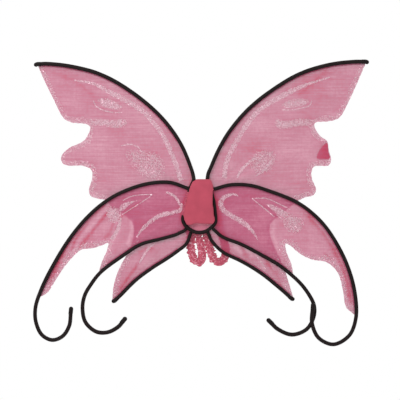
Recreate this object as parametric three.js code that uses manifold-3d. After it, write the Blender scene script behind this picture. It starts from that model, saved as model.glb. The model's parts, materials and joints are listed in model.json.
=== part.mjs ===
// Costume fairy wings: two wired organza wings on a padded back piece, with two ruched shoulder straps.
// Millimetres, +Z up as worn. +X is to the right seen from the outer face, +Y points to the wearer's back.
// The origin is on the flat back face of the back cushion. Outlines and wire routes are (x, z) points.
import * as THREE from "three";
import { mergeVertices } from "three/addons/utils/BufferGeometryUtils.js";
import Module from "manifold-3d";

const wasm = await Module();
wasm.setup();

// Driving dimensions
const WIRE_RADIUS = 4.8; // plastic sleeve on the frame wire
const CORE_RADIUS = 1.5; // bare steel inside the sleeve
const LOOP_RADIUS = 4.8; // sleeve of the wire that runs round the pad
const CLOTH = 0.5; // thickness of one sheet of organza
const CLEARANCE = 0.3; // air between pieces that touch

// Layers from the wearer's back (y = 0) to the outer face
const CUSHION_DEPTH = 8.0;
const BOARD_BACK = -(CUSHION_DEPTH + CLEARANCE);
const BOARD_THICKNESS = 2.2;
const STRAP_Y = -4.0;
const BACK_SHEET_BACK = -9.1;
const FRONT_SHEET_BACK = -9.9;
const CORE_Y = -12.4;
const WIRE_Y = -15.6;
const LOOP_Y = -19.0;
const TAPE_BACK = -14.1;
const TAPE_THICKNESS = 0.8;
const FOAM_BACK = -15.2;
const FOAM_DEPTH = 8.2;
const COVER_BACK = -24.1;
const COVER_DEPTH = 6.9;
const COVER_EDGE = 3.2; // radius of the cover's rounded rim
const CURL_CROSSING_Y = -26.2; // the right outer curl passes in front of the inner wire

// Wire and sleeve ends at the fold line
const NECK_INBOARD = 3.2;
const NECK_OUTBOARD = 7.0;
const SLEEVE_INBOARD = 5.0;
const CLOTH_OUTBOARD = 5.0;

// Fold lines of the two wings, top and bottom
const LEFT_FOLD = [
  [-24, 90],
  [-72, -120],
];
const RIGHT_FOLD = [
  [26, 90],
  [73, -120],
];

// Frame wires of the left wing, from the fold line out
const LEFT_UPPER = [
  [-23, 93],
  [-48, 150],
  [-96, 214],
  [-168, 274],
  [-240, 314],
  [-312, 333],
  [-368, 339],
  [-389, 338],
];
const LEFT_OUTER = [
  [-35, 42],
  [-72, 54],
  [-120, 52],
  [-167, 39],
  [-215, 16],
  [-262, -21],
  [-311, -78],
  [-359, -157],
  [-383, -208],
  [-395, -247],
  [-394, -280],
  [-380, -311],
  [-355, -324],
  [-330, -315],
  [-314, -290],
  [-310, -255],
];
const LEFT_INNER = [
  [-60, -72],
  [-96, -82],
  [-143, -95],
  [-190, -125],
  [-239, -162],
  [-262, -191],
  [-277, -218],
  [-282, -248],
  [-275, -281],
  [-249, -304],
  [-220, -305],
  [-196, -292],
  [-184, -278],
];
const LEFT_TAIL = [
  [-71, -123],
  [-119, -154],
  [-156, -182],
  [-190, -216],
  [-204, -229],
];

// Frame wires of the right wing
const RIGHT_UPPER = [
  [26, 90],
  [44, 131],
  [69, 174],
  [113, 227],
  [168, 272],
  [240, 315],
  [312, 337],
  [372, 344],
  [396, 344],
];
const RIGHT_OUTER = [
  [37.5, 39],
  [72, 48],
  [120, 47],
  [168, 33],
  [228, 9],
  [264, -15],
  [301, -52],
  [336, -107],
  [360, -163],
  [373, -220],
  [374, -272],
  [358, -313],
  [320, -334],
  [284, -318],
  [268, -282],
  [270, -245],
];
const RIGHT_INNER = [
  [63.5, -81],
  [96, -93],
  [144, -118],
  [192, -146],
  [240, -187],
  [262, -216],
  [274, -242],
  [273, -268],
  [256, -298],
  [221, -311],
  [187, -298],
  [169, -281],
];
const RIGHT_TAIL = [
  [73.5, -123],
  [97, -134],
  [144, -162],
  [192, -200],
  [219, -224],
];

// Free edges of the cloth. The back sheet makes the upper wing and the tail, the front sheet the lower wing.
const LEFT_BACK_EDGE = [
  [-386, 330],
  [-374, 300],
  [-350, 252],
  [-331, 214],
  [-322, 204],
  [-307, 198],
  [-272, 194],
  [-264, 187],
  [-278, 156],
  [-314, 136],
  [-332, 118],
  [-330, 102],
  [-319, 96],
  [-281, 95],
  [-260, 84],
  [-258, 66],
  [-266, 36],
  [-262, 22],
  [-245, 16],
  [-226, 11],
  [-209, -10],
  [-175, -29],
  [-160, -48],
  [-160, -75],
  [-169, -106],
  [-188, -142],
  [-199, -170],
  [-205, -197],
  [-205, -226],
];
const RIGHT_BACK_EDGE = [
  [394, 335],
  [377, 295],
  [358, 252],
  [338, 214],
  [326, 206],
  [307, 202],
  [278, 199],
  [275, 190],
  [288, 166],
  [304, 154],
  [309, 130],
  [313, 108],
  [308, 96],
  [290, 96],
  [276, 93],
  [269, 79],
  [271, 60],
  [278, 38],
  [272, 25],
  [252, 18],
  [233, 7],
  [199, -20],
  [170, -45],
  [168, -70],
  [180, -103],
  [200, -146],
  [211, -185],
  [219, -218],
];
const LEFT_FRONT_EDGE = [
  [-383, -215],
  [-366, -210],
  [-348, -184],
  [-326, -148],
  [-300, -118],
  [-284, -107],
  [-259, -104],
  [-233, -96],
  [-222, -92],
  [-220, -102],
  [-232, -132],
  [-240, -157],
];
const RIGHT_FRONT_EDGE = [
  [370, -255],
  [352, -242],
  [344, -204],
  [332, -163],
  [305, -137],
  [269, -130],
  [240, -116],
  [216, -98],
  [205, -95],
  [206, -110],
  [218, -144],
  [222, -165],
];

// Back piece
const PAD_OUTLINE = [
  [-8, 61],
  [16, 60],
  [24, 54],
  [29, 42],
  [31, 24],
  [33, 0],
  [34, -22],
  [35, -38],
  [28, -47],
  [12, -45],
  [-7, -44],
  [-22, -49],
  [-31, -42],
  [-38, -28],
  [-37, -12],
  [-32, 10],
  [-26, 31],
  [-22, 46],
  [-16, 56],
];
const FOAM_OUTLINE = [
  [-9, 53],
  [10, 53],
  [17, 42],
  [23, 20],
  [27, 0],
  [29, -20],
  [26, -36],
  [12, -42],
  [-10, -42],
  [-25, -38],
  [-30, -18],
  [-26, 5],
  [-20, 28],
  [-15, 44],
];
const CUSHION_HALF = [
  [0, 22],
  [8, 19.5],
  [14, 10],
  [21, -2],
  [23, -14],
  [16, -27],
  [0, -30],
];
// The pad's wire comes down from one upper wing, round the pad and up into the other: (x, y, z)
const LOOP_ROUTE = [
  [-23, WIRE_Y, 93],
  [-17, -17.2, 74],
  [-14.5, LOOP_Y, 61],
  [-19, LOOP_Y, 51],
  [-24.5, LOOP_Y, 38],
  [-29.5, LOOP_Y, 18],
  [-34, LOOP_Y, -3],
  [-39, LOOP_Y, -22],
  [-41, LOOP_Y, -36],
  [-36, LOOP_Y, -48],
  [-25, LOOP_Y, -58],
  [-12, LOOP_Y, -64.5],
  [0, LOOP_Y, -66],
  [14, LOOP_Y, -63],
  [27, LOOP_Y, -54],
  [37, LOOP_Y, -43],
  [38, LOOP_Y, -29],
  [36.3, LOOP_Y, -12],
  [34.3, LOOP_Y, 5],
  [30.5, LOOP_Y, 22],
  [27, LOOP_Y, 38],
  [22, LOOP_Y, 52],
  [17.5, LOOP_Y, 62],
  [20, -17.2, 76],
  [25, WIRE_Y, 90],
];
// Steel roots of the outer wires, behind the loop and in under the foam
const OUTER_ROOTS = {
  left: [
    [-30.2, WIRE_Y, 40.6],
    [-28.6, -14, 40.2],
    [-26.5, -12.6, 39.5],
    [-22, CORE_Y, 38],
    [-7, CORE_Y, 31],
  ],
  right: [
    [32.9, WIRE_Y, 38],
    [31.4, -14, 37.7],
    [29.2, -12.6, 37],
    [25, CORE_Y, 36],
    [7, CORE_Y, 30],
  ],
};
// Inner and tail roots: the sleeved stretch on the hub, then the bare end under the pad
const INNER_ROOTS = {
  left: {
    sleeve: [
      [-55.2, -70.3],
      [-46, -65.5],
      [-38, -62],
    ],
    core: [
      [-40, WIRE_Y, -63],
      [-37.2, WIRE_Y, -61.5],
      [-33.5, -13.4, -58],
      [-29, CORE_Y, -52.5],
      [-14, CORE_Y, -33],
    ],
  },
  right: {
    sleeve: [
      [58.8, -79],
      [48, -72.5],
      [36.5, -62.5],
    ],
    core: [
      [38, WIRE_Y, -64],
      [35.8, WIRE_Y, -61.8],
      [32, -13.4, -57.5],
      [27.5, CORE_Y, -51.5],
      [12, CORE_Y, -33],
    ],
  },
};
const TAIL_ROOTS = {
  left: {
    sleeve: [
      [-66.8, -120.2],
      [-49, -107],
      [-36, -97],
      [-28, -84],
      [-24.5, -72.5],
    ],
    core: [
      [-25, WIRE_Y, -74],
      [-24, WIRE_Y, -71],
      [-21.5, -13.5, -65.5],
      [-18.5, CORE_Y, -59.5],
      [-6, CORE_Y, -36],
    ],
  },
  right: {
    sleeve: [
      [69.2, -121],
      [55, -113],
      [38, -98],
      [27, -84],
      [22.2, -73.5],
    ],
    core: [
      [22.5, WIRE_Y, -74],
      [21.4, WIRE_Y, -70.5],
      [19.5, -13.5, -64.5],
      [17, CORE_Y, -58.5],
      [4, CORE_Y, -36],
    ],
  },
};
// Wing cloth that is sewn down round the pad: outer edge, then the edge along the backing board
const ROOT_CLOTH_OUTER = [
  [-20.4, 84],
  [-30.4, 40],
  [-44, -20],
  [-55.2, -69],
  [-65, -112],
  [-49, -107],
  [-36, -97],
  [-28, -84],
  [-22, -70],
  [0, -66],
  [22, -70],
  [27, -84],
  [38, -98],
  [55, -113],
  [67, -116],
  [56.4, -69],
  [45.6, -20],
  [32.4, 38],
  [22.2, 84],
];
const ROOT_CLOTH_INNER = [
  [20, 62],
  [27, 56],
  [31, 43],
  [33.5, 24],
  [35.5, 0],
  [36.5, -22],
  [38, -40],
  [29, -50],
  [12, -47.5],
  [-7, -46.5],
  [-24, -52],
  [-33.5, -43],
  [-40.5, -28],
  [-39.5, -12],
  [-34.5, 10],
  [-28.5, 31],
  [-24.5, 47],
  [-18, 58],
];

// Shoulder straps: a ruched casing on flat elastic, sewn on by a tab at each end
const STRAP_HALF_WIDTH = 8.0;
const STRAP_HALF_THICKNESS = 3.5;
const CASING_HOLE = 0.74; // inside of the casing as a share of its outside
const ELASTIC_WIDTH = 9.0;
const ELASTIC_THICKNESS = 1.6;
const TAB_LENGTH = 9.0;
const TAB_WIDTH = 12.0;
const TAB_DEPTH = 5.4;
const STRAPS = {
  left: [
    [-10, 44],
    [-10, 38],
    [-16, 27],
    [-29, 14],
    [-38, -3],
    [-38.5, -25],
    [-31, -48],
    [-24, -68],
    [-21, -85],
    [-22, -103],
    [-19, -120],
    [-12, -133],
    [-3, -137],
    [4, -130],
    [5, -116],
    [3, -100],
    [-1, -84],
    [-5.5, -70],
    [-8.5, -60],
    [-10, -51],
    [-10, -45.5],
  ],
  right: [
    [10, 44],
    [10, 38],
    [16, 27],
    [30, 14],
    [41, -6],
    [45, -32],
    [49, -55],
    [55, -78],
    [60, -98],
    [62, -115],
    [57, -130],
    [46, -137],
    [34, -131],
    [27.5, -116],
    [23, -99],
    [19, -82],
    [14.5, -67],
    [11, -57],
    [10, -51],
    [10, -45.5],
  ],
};

const WIRE_SIDES = 8;
const WIRE_STEP = 17; // length of one straight stretch of a bent wire
const STRAP_STEP = 12;
const CAP_RADIUS = 5.2;
const CAP_BARREL = 7;

const black = { color: 0x0d0b0b, roughness: 0.55, metalness: 0 };
const steel = { color: 0xa5a5a8, roughness: 0.35, metalness: 1 };
const organza = { color: 0xcf9cad, roughness: 0.5, metalness: 0 };
const satin = { color: 0xc25568, roughness: 0.7, metalness: 0 };
const foam = { color: 0xe9dfcf, roughness: 0.95, metalness: 0 };
const board = { color: 0x8d6f63, roughness: 0.9, metalness: 0 };
const ruche = { color: 0xc65f74, roughness: 0.6, metalness: 0 };
const elastic = { color: 0xeee6e4, roughness: 0.8, metalness: 0 };
const tape = { color: 0x6e6a66, roughness: 0.6, metalness: 0 };

const wings = new THREE.Group();

function add(name, geometry, look) {
  const mesh = new THREE.Mesh(geometry, new THREE.MeshStandardMaterial(look));
  mesh.name = name;
  wings.add(mesh);
  return mesh;
}

function solidOf(geometry) {
  const bare = geometry.clone();
  bare.deleteAttribute("normal");
  bare.deleteAttribute("uv");
  const merged = mergeVertices(bare, 1e-3);
  const vertProperties = merged.attributes.position.array;
  const triVerts = new Uint32Array(merged.index.array);
  return new wasm.Manifold(new wasm.Mesh({ numProp: 3, vertProperties, triVerts }));
}

function geometryOf(solid) {
  const made = solid.getMesh();
  const geometry = new THREE.BufferGeometry();
  geometry.setAttribute("position", new THREE.BufferAttribute(made.vertProperties, 3));
  geometry.setIndex(new THREE.BufferAttribute(made.triVerts, 1));
  geometry.computeVertexNormals();
  return geometry;
}

// A smooth curve through (x, z) points at one depth, or through (x, y, z) points
function route(points, y = WIRE_Y) {
  const corners = points.map((p) =>
    p.length === 3 ? new THREE.Vector3(...p) : new THREE.Vector3(p[0], y, p[1]),
  );
  return new THREE.CatmullRomCurve3(corners, false, "centripetal");
}

function ellipse(a, b, sides) {
  const corner = (i) => (2 * Math.PI * (i + 0.5)) / sides;
  return Array.from(
    { length: sides },
    (_, i) => new THREE.Vector2(a * Math.cos(corner(i)), b * Math.sin(corner(i))),
  );
}

function rod(path, radius, step = WIRE_STEP) {
  return new THREE.ExtrudeGeometry(new THREE.Shape(ellipse(radius, radius, WIRE_SIDES)), {
    extrudePath: path,
    steps: Math.max(2, Math.round(path.getLength() / step)),
    bevelEnabled: false,
  });
}

// A closed outline through (x, z) points, rounded unless its corners are sharp
function outline(points, divisions = 0) {
  const corners = points.map(([x, z]) => new THREE.Vector2(x, z));
  if (!divisions) return new THREE.Shape(corners);
  const ring = new THREE.CatmullRomCurve3(
    points.map(([x, z]) => new THREE.Vector3(x, 0, z)),
    true,
    "centripetal",
  );
  return new THREE.Shape(
    ring
      .getSpacedPoints(divisions)
      .slice(0, -1)
      .map((p) => new THREE.Vector2(p.x, p.z)),
  );
}

// A flat piece whose back face is at y = back
function addPlate(name, shape, back, thickness, look, rim = 0) {
  const geometry = new THREE.ExtrudeGeometry(shape, {
    depth: thickness - 2 * rim,
    bevelEnabled: rim > 0,
    bevelThickness: rim,
    bevelSize: rim * 1.6,
    bevelOffset: -rim * 1.6,
    bevelSegments: 3,
    curveSegments: 8,
  });
  const mesh = add(name, geometry, look);
  mesh.rotation.x = Math.PI / 2;
  mesh.position.y = back - rim;
  return mesh;
}

const curvePoints = (path, steps) => path.getSpacedPoints(steps).map((p) => [p.x, p.z]);

// Where a fold line is at height z, moved outboard by an offset
function foldAt([top, bottom], z, outboard) {
  const x = top[0] + ((bottom[0] - top[0]) * (z - top[1])) / (bottom[1] - top[1]);
  return [x + Math.sign(top[0]) * outboard, z];
}

// A sleeved wire of a wing: bare steel across the fold line, then the sleeve out to its end
function addWingWire(name, points, depths = {}) {
  const start = new THREE.Vector3(points[0][0], WIRE_Y, points[0][1]);
  const along = new THREE.Vector3(points[1][0], WIRE_Y, points[1][1]).sub(start).normalize();
  const neck = new THREE.LineCurve3(
    start.clone().addScaledVector(along, -NECK_INBOARD),
    start.clone().addScaledVector(along, NECK_OUTBOARD + 2 * CORE_RADIUS),
  );
  const sleeveStart = start.clone().addScaledVector(along, NECK_OUTBOARD);
  const sleeve = route([
    sleeveStart.toArray(),
    ...points.slice(1).map(([x, z], i) => [x, depths[i + 1] ?? WIRE_Y, z]),
  ]);
  const joined = solidOf(rod(sleeve, WIRE_RADIUS)).add(solidOf(rod(neck, CORE_RADIUS)));
  add(name, geometryOf(joined), black);
  return sleeve;
}

// A rounded vinyl cap on the free end of a wire
function addCap(name, path) {
  const profile = [new THREE.Vector2(0, 0), new THREE.Vector2(CAP_RADIUS, 0)];
  const DOME_STEPS = 4;
  for (let i = 0; i <= DOME_STEPS; i++) {
    const a = (Math.PI / 2) * (i / DOME_STEPS);
    profile.push(new THREE.Vector2(CAP_RADIUS * Math.cos(a), CAP_BARREL + CAP_RADIUS * Math.sin(a)));
  }
  profile[profile.length - 1].x = 0;
  const cap = add(name, new THREE.LatheGeometry(profile, 12), black);
  const outward = path.getTangentAt(1);
  cap.quaternion.setFromUnitVectors(new THREE.Vector3(0, 1, 0), outward);
  cap.position.copy(path.getPointAt(1)).addScaledVector(outward, CLEARANCE);
}

function addRoot(name, { sleeve, core }) {
  const joined = solidOf(rod(route(sleeve), WIRE_RADIUS, 12)).add(
    solidOf(rod(route(core), CORE_RADIUS, 6)),
  );
  add(name, geometryOf(joined), black);
}

// A sheet between two wires: out along the first, in along its free edge, back along the second and the fold line
function addSheet(name, fold, first, edge, second, back) {
  const edgeCurve = curvePoints(route(edge), edge.length * 2);
  const shape = outline([
    foldAt(fold, first[0][1], CLOTH_OUTBOARD),
    ...first.slice(1),
    ...edgeCurve,
    ...second.slice(1).reverse(),
    foldAt(fold, second[0][1], CLOTH_OUTBOARD),
  ]);
  addPlate(name, shape, back, CLOTH, organza);
}

// Points of a wire up to where the cloth leaves it
function until(path, steps, reaches) {
  const points = curvePoints(path, steps);
  const end = points.findIndex(([x, z]) => reaches(x, z));
  return end < 0 ? points : points.slice(0, end);
}

function addWing(side, fold, wires, backEdge, frontEdge) {
  const upper = addWingWire(side + "_upper_wire", wires.upper);
  const outer = addWingWire(side + "_outer_wire", wires.outer, wires.outerDepths);
  const inner = addWingWire(side + "_inner_wire", wires.inner);
  const tail = addWingWire(side + "_tail_wire", wires.tail);
  addCap(side + "_upper_tip_cap", upper);
  addCap(side + "_outer_curl_cap", outer);
  addCap(side + "_inner_curl_cap", inner);
  addCap(side + "_tail_tip_cap", tail);
  const clothOnOuter = until(outer, 40, (x, z) => z < frontEdge[0][1]);
  const clothOnInner = until(inner, 30, (x) => Math.abs(x) > Math.abs(frontEdge.at(-1)[0]));
  const upperPoints = curvePoints(upper, 16).slice(0, -1);
  const tailPoints = curvePoints(tail, 8).slice(0, -1);
  addSheet(side + "_back_sheet", fold, upperPoints, backEdge, tailPoints, BACK_SHEET_BACK);
  addSheet(side + "_front_sheet", fold, clothOnOuter, frontEdge, clothOnInner, FRONT_SHEET_BACK);
}

function addStrap(side, points) {
  const path = route(points, STRAP_Y);
  const steps = Math.round(path.getLength() / STRAP_STEP);
  const section = new THREE.Shape(ellipse(STRAP_HALF_THICKNESS, STRAP_HALF_WIDTH, 10));
  const hole = ellipse(STRAP_HALF_THICKNESS * CASING_HOLE, STRAP_HALF_WIDTH * CASING_HOLE, 10);
  section.holes.push(new THREE.Path(hole.reverse()));
  const along = { extrudePath: path, steps, bevelEnabled: false };
  add(side + "_strap_casing", new THREE.ExtrudeGeometry(section, along), ruche);
  const w = ELASTIC_WIDTH / 2;
  const t = ELASTIC_THICKNESS / 2;
  const band = new THREE.Shape([
    new THREE.Vector2(-t, -w),
    new THREE.Vector2(t, -w),
    new THREE.Vector2(t, w),
    new THREE.Vector2(-t, w),
  ]);
  add(side + "_strap_elastic", new THREE.ExtrudeGeometry(band, along), elastic);
  for (const [end, u] of [
    ["upper", 0],
    ["lower", 1],
  ]) {
    const out = path.getTangentAt(u).multiplyScalar(u ? 1 : -1);
    const block = new THREE.BoxGeometry(TAB_WIDTH, TAB_DEPTH, TAB_LENGTH);
    const tab = add(`${side}_${end}_strap_tab`, block, ruche);
    tab.rotation.y = Math.atan2(out.x, out.z);
    tab.position.copy(path.getPointAt(u)).addScaledVector(out, TAB_LENGTH / 2 + CLEARANCE);
    tab.position.y = BOARD_BACK + CLEARANCE + TAB_DEPTH / 2;
  }
}

function addBackPiece() {
  const padShape = outline(PAD_OUTLINE, 44);
  addPlate("pad_front_cover", padShape, COVER_BACK, COVER_DEPTH, satin, COVER_EDGE);
  addPlate("pad_foam", outline(FOAM_OUTLINE, 30), FOAM_BACK, FOAM_DEPTH, foam);
  addPlate("backing_board", padShape, BOARD_BACK, BOARD_THICKNESS, board);
  const otherHalf = CUSHION_HALF.slice(1, -1).reverse();
  const cushion = [...CUSHION_HALF, ...otherHalf.map(([x, z]) => [-x, z])];
  addPlate("back_cushion", outline(cushion, 40), 0, CUSHION_DEPTH, satin);
  const loop = route(LOOP_ROUTE);
  const total = loop.getLength();
  const ends = loop.getSpacedPoints(Math.round(total / SLEEVE_INBOARD)).slice(1, -1);
  const loopSleeve = new THREE.CatmullRomCurve3(ends, false, "centripetal");
  add("hub_loop_wire", rod(loopSleeve, LOOP_RADIUS, 9), black);
  const clothShape = outline([...ROOT_CLOTH_OUTER, ...ROOT_CLOTH_INNER]);
  const clothDepth = BACK_SHEET_BACK - FRONT_SHEET_BACK + CLOTH;
  addPlate("root_cloth", clothShape, BACK_SHEET_BACK, clothDepth, organza);
  for (const side of ["left", "right"]) {
    add(side + "_outer_root", rod(route(OUTER_ROOTS[side]), CORE_RADIUS, 4), steel);
    addRoot(side + "_inner_root", INNER_ROOTS[side]);
    addRoot(side + "_tail_root", TAIL_ROOTS[side]);
  }
  for (const [name, z, height] of [
    ["root_tape_upper", 33, 12],
    ["root_tape_lower", -38, 8],
  ]) {
    const strip = add(name, new THREE.BoxGeometry(36, TAPE_THICKNESS, height), tape);
    strip.position.set(0, TAPE_BACK - TAPE_THICKNESS / 2, z);
  }
}

addBackPiece();
addWing(
  "left",
  LEFT_FOLD,
  { upper: LEFT_UPPER, outer: LEFT_OUTER, inner: LEFT_INNER, tail: LEFT_TAIL },
  LEFT_BACK_EDGE,
  LEFT_FRONT_EDGE,
);
// The end of the right outer curl lies over the inner wire, from its third-last point on
const CURL_DEPTHS = { 11: -17, 12: -21, 13: -24.5, 14: CURL_CROSSING_Y, 15: CURL_CROSSING_Y };
addWing(
  "right",
  RIGHT_FOLD,
  {
    upper: RIGHT_UPPER,
    outer: RIGHT_OUTER,
    outerDepths: CURL_DEPTHS,
    inner: RIGHT_INNER,
    tail: RIGHT_TAIL,
  },
  RIGHT_BACK_EDGE,
  RIGHT_FRONT_EDGE,
);
addStrap("left", STRAPS.left);
addStrap("right", STRAPS.right);

export default wings;
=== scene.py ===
"""Costume fairy wings: wired sheer cloth, a padded back and ruched shoulder straps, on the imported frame."""
import json
import math
import random

import bpy
import numpy as np
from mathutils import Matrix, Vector, noise
from mathutils.bvhtree import BVHTree
from mathutils.geometry import delaunay_2d_cdt


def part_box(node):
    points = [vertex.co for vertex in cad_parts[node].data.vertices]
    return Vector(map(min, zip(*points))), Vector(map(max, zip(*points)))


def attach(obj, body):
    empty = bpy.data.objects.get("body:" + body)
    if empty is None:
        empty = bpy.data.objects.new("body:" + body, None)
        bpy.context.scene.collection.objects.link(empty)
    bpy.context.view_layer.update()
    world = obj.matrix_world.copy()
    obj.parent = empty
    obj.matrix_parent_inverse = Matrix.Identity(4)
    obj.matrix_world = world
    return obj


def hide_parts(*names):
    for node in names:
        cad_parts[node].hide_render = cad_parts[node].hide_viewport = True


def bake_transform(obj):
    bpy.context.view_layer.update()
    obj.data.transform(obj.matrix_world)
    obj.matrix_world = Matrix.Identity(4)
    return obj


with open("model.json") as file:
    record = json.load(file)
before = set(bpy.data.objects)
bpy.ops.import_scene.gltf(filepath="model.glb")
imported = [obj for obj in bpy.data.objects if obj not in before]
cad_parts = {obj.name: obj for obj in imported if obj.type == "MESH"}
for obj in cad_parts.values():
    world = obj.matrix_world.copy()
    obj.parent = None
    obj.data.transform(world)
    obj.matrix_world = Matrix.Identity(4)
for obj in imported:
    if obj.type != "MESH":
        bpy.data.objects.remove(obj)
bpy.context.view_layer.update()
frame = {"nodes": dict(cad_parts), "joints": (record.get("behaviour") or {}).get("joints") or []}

MM = 0.001
SIDES = ("left", "right")

# Frame wires from the hub out, as (x, z) in millimetres
WIRES = {
    "left": {
        "upper": [(-23, 93), (-48, 150), (-96, 214), (-168, 274), (-240, 314), (-312, 333), (-368, 339),
                  (-389, 338)],
        "outer": [(-35, 42), (-72, 54), (-120, 52), (-167, 39), (-215, 16), (-262, -21), (-311, -78),
                  (-359, -157), (-383, -208), (-395, -247), (-394, -280), (-380, -311), (-355, -324),
                  (-330, -315), (-314, -290), (-310, -255)],
        "inner": [(-60, -72), (-96, -82), (-143, -95), (-190, -125), (-239, -162), (-262, -191),
                  (-277, -218), (-282, -248), (-275, -281), (-249, -304), (-220, -305), (-196, -292),
                  (-184, -278)],
        "tail": [(-71, -123), (-119, -154), (-156, -182), (-190, -216), (-204, -229)],
    },
    "right": {
        "upper": [(26, 90), (44, 131), (69, 174), (113, 227), (168, 272), (240, 315), (312, 337),
                  (372, 344), (396, 344)],
        "outer": [(37.5, 39), (72, 48), (120, 47), (168, 33), (228, 9), (264, -15), (301, -52), (336, -107),
                  (360, -163), (373, -220), (374, -272), (358, -313), (320, -334), (284, -318), (268, -282),
                  (270, -245)],
        "inner": [(63.5, -81), (96, -93), (144, -118), (192, -146), (240, -187), (262, -216), (274, -242),
                  (273, -268), (256, -298), (221, -311), (187, -298), (169, -281)],
        "tail": [(73.5, -123), (97, -134), (144, -162), (192, -200), (219, -224)],
    },
}
# Where each wire starts under the pad's edge, as (x, y, z)
ROOTS = {
    "left": {
        "upper": [(-14.5, -19, 61), (-17, -17.2, 74)],
        "outer": [(-26, -16, 39)],
        "inner": [(-33, -16.5, -57), (-39, -15.6, -62.5), (-47, -15.6, -66)],
        "tail": [(-21.5, -16.5, -66), (-24.5, -15.6, -73), (-28, -15.6, -84), (-36, -15.6, -97),
                 (-49, -15.6, -107)],
    },
    "right": {
        "upper": [(17.5, -19, 62), (20, -17.2, 76)],
        "outer": [(29, -16, 37)],
        "inner": [(31, -16.5, -57), (37.5, -15.6, -63), (48, -15.6, -72.5)],
        "tail": [(19, -16.5, -65), (22.2, -15.6, -73.5), (27, -15.6, -84), (38, -15.6, -98),
                 (55, -15.6, -113)],
    },
}
# The sleeve is squeezed at the hub and fuller where the wire ends: its share of the usual radius at each
TAPER = {"upper": (0.95, 1.0), "outer": (0.9, 1.0), "inner": (0.85, 1.05), "tail": (0.85, 0.95)}
WIRE_Y = -15.6
CURL_DEPTHS = {11: -17.0, 12: -21.0, 13: -24.5, 14: -26.2, 15: -26.2}  # right outer curl, by point
WIRE_RADIUS = 4.8
LOOP_Y = -19.0
LOOP = [(-14.5, 61), (-19, 51), (-24.5, 38), (-29.5, 18), (-34, -3), (-39, -22), (-41, -36), (-36, -48),
        (-25, -58), (-12, -64.5), (0, -66), (14, -63), (27, -54), (37, -43), (38, -29), (36.3, -12),
        (34.3, 5), (30.5, 22), (27, 38), (22, 52), (17.5, 62)]

# Free edges of the cloth
BACK_EDGE = {
    "left": [(-388, 331), (-375, 301), (-351, 252), (-332, 214), (-322, 204), (-307, 198), (-272, 194),
             (-264, 187), (-278, 156), (-316, 136), (-333, 118), (-331, 101), (-319, 95), (-281, 94),
             (-261, 84), (-259, 66), (-267, 36), (-263, 22), (-245, 15), (-226, 11), (-209, -10),
             (-175, -29), (-160, -48), (-160, -75), (-169, -106), (-189, -142), (-201, -170), (-208, -197),
             (-211, -228)],
    "right": [(397, 338), (379, 296), (359, 252), (338, 213), (326, 205), (307, 201), (278, 198),
              (275, 190), (289, 166), (305, 154), (310, 130), (315, 108), (309, 95), (290, 94), (274, 92),
              (268, 79), (270, 60), (279, 38), (273, 24), (252, 18), (230, 6), (199, -20), (170, -45),
              (168, -70), (180, -103), (200, -146), (213, -185), (225, -226)],
}
FRONT_EDGE = {
    "left": [(-384, -221), (-367, -211), (-349, -184), (-326, -149), (-300, -119), (-284, -107),
             (-259, -104), (-233, -96), (-221, -91), (-222, -104), (-235, -135), (-244, -162)],
    "right": [(371, -264), (351, -245), (343, -204), (331, -163), (305, -138), (269, -131), (240, -117),
              (216, -97), (206, -93), (207, -110), (220, -144), (224, -169)],
}

# Printed glitter on each sheet. A stroke is (points, width at start, middle and end)
STROKES = {
    ("left", "back"): [
        ([(-302, 300), (-257, 292), (-216, 271), (-180, 252), (-151, 235), (-132, 221), (-115, 202),
          (-96, 178), (-82, 154), (-72, 132), (-62, 108), (-53, 84), (-46, 58)], 2, 11, 10),
        ([(-257, 252), (-250, 238), (-230, 227), (-204, 222), (-187, 223)], 1.6, 2.4, 1.6),
        ([(-190, 142), (-168, 146), (-149, 139), (-139, 125)], 1.6, 2.2, 1.6),
        ([(-108, -92), (-121, -102), (-133, -118), (-146, -140)], 2, 5, 2.5),
    ],
    ("right", "back"): [
        ([(312, 307), (276, 296), (240, 283), (192, 259), (156, 238), (132, 218), (113, 194), (98, 170),
          (84, 146), (70, 120), (62, 96), (58, 65)], 2, 11, 10),
        ([(269, 250), (262, 238), (240, 232), (216, 228), (197, 229)], 1.6, 2.4, 1.6),
        ([(89, 65), (96, 79), (110, 96), (134, 113)], 3, 7, 3),
        ([(134, 70), (154, 84), (173, 106)], 2, 5, 2),
        ([(136, -122), (147, -137), (158, -155)], 1.5, 2.2, 1.5),
    ],
    ("left", "front"): [
        ([(-81, 31), (-67, 25), (-58, 18), (-51, 7), (-43, -4)], 4, 5.5, 9),
        ([(-42, -5), (-49, -13), (-69, -19), (-89, -23), (-108, -32), (-126, -46), (-141, -61),
          (-152, -77)], 8, 8.5, 1.5),
        ([(-185, 11), (-167, 20), (-148, 24), (-130, 25), (-115, 25)], 1.4, 1.8, 1.6),
        ([(-115, 25), (-122, 19), (-137, 9), (-152, -1), (-170, -12), (-187, -23)], 1.6, 1.8, 1.4),
        ([(-190, -30), (-198, -59), (-212, -84)], 3, 8, 9),
    ],
    ("right", "front"): [
        ([(92, 22), (81, 26), (68, 23), (55, 16), (50, 5), (53, -8), (64, -19), (83, -30), (101, -41),
          (116, -52), (129, -67), (139, -85)], 3, 11, 1.5),
        ([(125, 16), (139, 16), (158, 16), (175, 10), (193, 1), (208, -6), (217, -12)], 1.4, 1.9, 1.4),
        ([(125, 16), (138, 5), (152, -6), (165, -17), (178, -28)], 1.4, 1.9, 1.4),
        ([(184, -23), (198, -35)], 1.2, 1.6, 1.2),
        ([(239, -30), (246, -38), (249, -48)], 1.2, 1.8, 1.2),
    ],
}
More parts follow.
